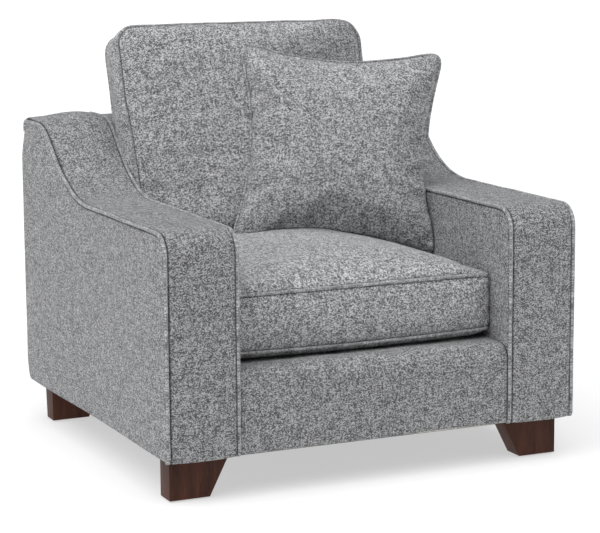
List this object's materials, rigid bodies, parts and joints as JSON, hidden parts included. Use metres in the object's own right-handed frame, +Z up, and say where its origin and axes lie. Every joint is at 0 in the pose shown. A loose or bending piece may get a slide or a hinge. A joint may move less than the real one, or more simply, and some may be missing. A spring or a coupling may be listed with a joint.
{
  "type": "upholstered armchair",
  "caption": "Upholstered track-arm armchair with swept arms, a loose box seat cushion, a loose back cushion, a throw pillow and tapered block legs.",
  "frame": {"origin": "on the floor under the middle of the chair", "axes": "+X to the right as seen from the front, -Y is the way the chair faces, +Z up"},
  "size_m": [1.04, 0.988, 1.0142],
  "materials": {
    "upholstery": "matte",
    "welt_cord": "matte",
    "foam": "matte",
    "fibre_fill": "matte",
    "plywood": "matte",
    "hardwood": "matte",
    "felt": "matte",
    "webbing": "matte",
    "dust_cloth": "matte",
    "stained_wood": "satin",
    "nylon": "matte",
    "zip": "matte",
    "spring_steel": "satin"
  },
  "bodies": {
    "frame": {"arm_outer_cover_left": "upholstery", "arm_outer_cover_right": "upholstery", "arm_inner_cover_left": "upholstery", "arm_inner_cover_right": "upholstery", "arm_band_left": "upholstery", "arm_band_right": "upholstery", "arm_outer_welt_left": "welt_cord", "arm_outer_welt_right": "welt_cord", "arm_inner_welt_left": "welt_cord", "arm_inner_welt_right": "welt_cord", "arm_padding_left": "foam", "arm_padding_right": "foam", "arm_outer_panel_left": "plywood", "arm_outer_panel_right": "plywood", "arm_inner_panel_left": "plywood", "arm_inner_panel_right": "plywood", "arm_spreaders_left": "hardwood", "arm_spreaders_right": "hardwood", "arm_base_rail_left": "hardwood", "arm_base_rail_right": "hardwood", "front_rail": "hardwood", "rear_rail": "hardwood", "side_rail_left": "hardwood", "side_rail_right": "hardwood", "corner_blocks": "hardwood", "seat_springs": "spring_steel", "spring_clips": "spring_steel", "deck_pad": "felt", "deck_cover": "upholstery", "front_rail_padding": "foam", "front_rail_cover": "upholstery", "back_side_panel_left": "plywood", "back_side_panel_right": "plywood", "back_top_rail": "hardwood", "back_lower_rail": "hardwood", "back_webbing": "webbing", "back_padding": "foam", "inside_back_cover": "upholstery", "outside_back_cover": "upholstery", "dust_cover": "dust_cloth", "leg_front_left": "stained_wood", "leg_front_right": "stained_wood", "leg_rear_left": "stained_wood", "leg_rear_right": "stained_wood", "leg_bolts": "spring_steel", "leg_tee_nuts": "spring_steel", "leg_glides": "nylon"},
    "seat_cushion": {"seat_cushion_cover": "upholstery", "seat_cushion_foam": "foam", "seat_cushion_welts": "welt_cord", "seat_cushion_zip": "zip"},
    "back_cushion": {"back_cushion_cover": "upholstery", "back_cushion_fill": "fibre_fill", "back_cushion_welts": "welt_cord", "back_cushion_zip": "zip"},
    "throw_pillow": {"pillow_cover": "upholstery", "pillow_insert": "fibre_fill", "pillow_piping": "welt_cord", "pillow_zip": "zip"}
  },
  "joints": [
    {"name": "seat_cushion_pull", "type": "slide", "parent": "frame", "child": "seat_cushion", "axis": [0, -1, 0], "range_m": [0, 0.7]},
    {"name": "back_cushion_lift", "type": "slide", "parent": "frame", "child": "back_cushion", "axis": [0, 0.2672, 0.9636], "range_m": [0, 0.35]},
    {"name": "pillow_lift", "type": "slide", "parent": "frame", "child": "throw_pillow", "axis": [-0.18, -0.55, 0.8155], "range_m": [0, 0.35]}
  ]
}
